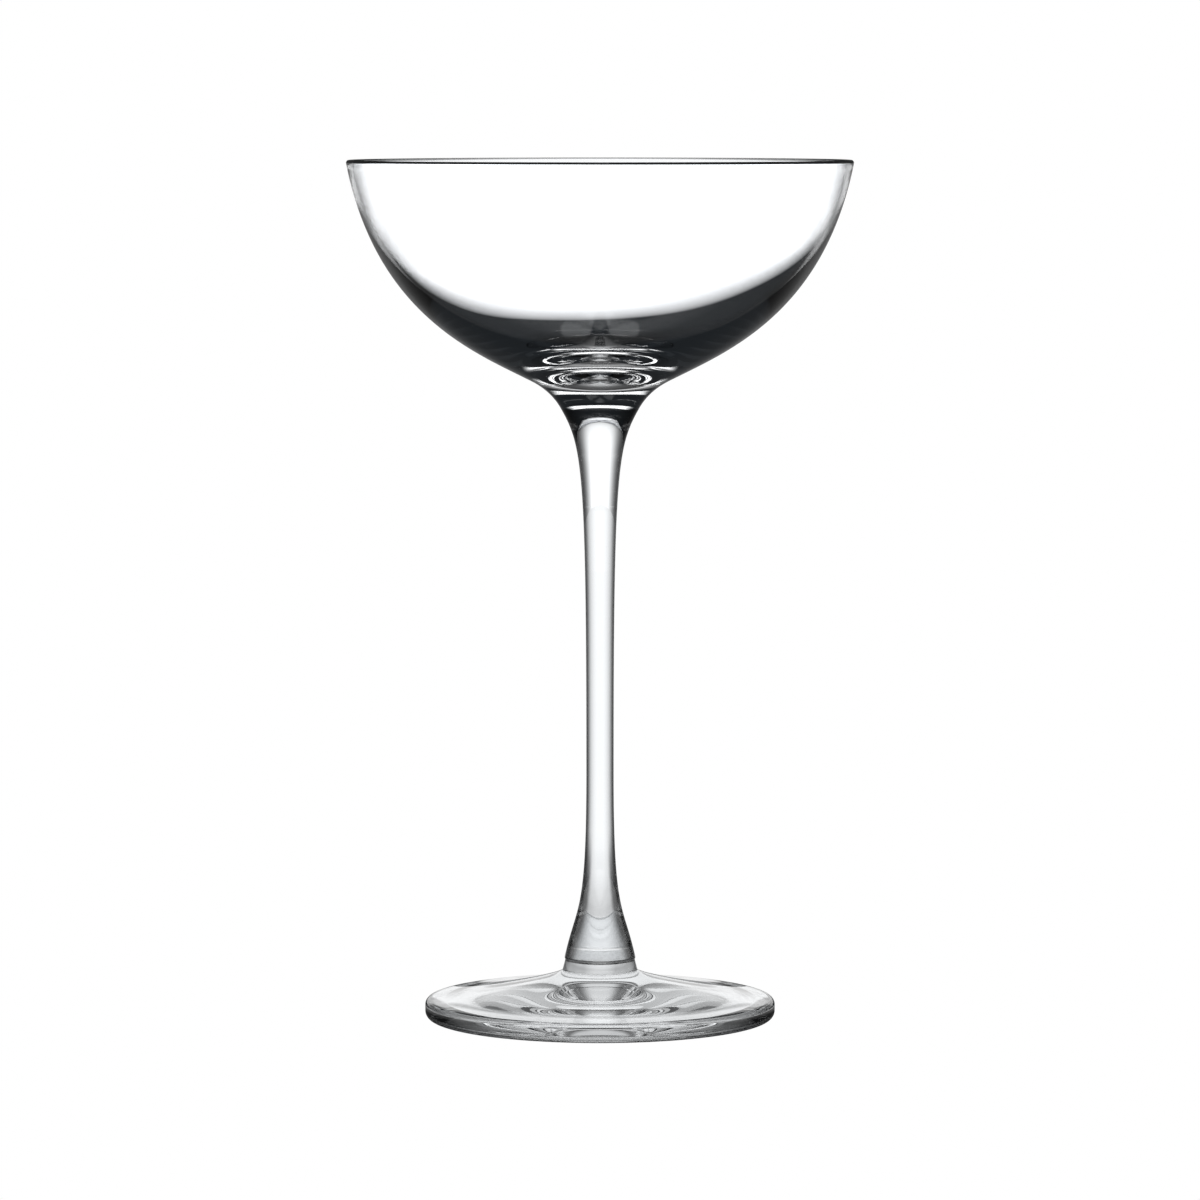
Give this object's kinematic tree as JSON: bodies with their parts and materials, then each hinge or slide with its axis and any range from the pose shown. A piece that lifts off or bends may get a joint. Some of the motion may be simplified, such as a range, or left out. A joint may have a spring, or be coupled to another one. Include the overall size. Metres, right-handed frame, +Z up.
{
  "type": "coupe glass",
  "caption": "Clear stemmed coupe glass: a shallow open bowl with a thin lip on a slim drawn stem and a round pressed foot, for cocktails or sparkling wine.",
  "frame": {"origin": "on the table, under the middle of the foot, on the glass's axis", "axes": "+Z up along the stem towards the bowl; X and Y are alike, because the glass is turned about Z"},
  "size_m": [0.098, 0.098, 0.167],
  "materials": {
    "blown_glass": "clear, fire-polished, very smooth",
    "drawn_glass": "clear, drawn, very smooth",
    "pressed_glass": "clear, pressed and fire-polished"
  },
  "bodies": {
    "root": {"bowl": "blown_glass", "stem": "drawn_glass", "foot": "pressed_glass"}
  },
  "joints": []
}
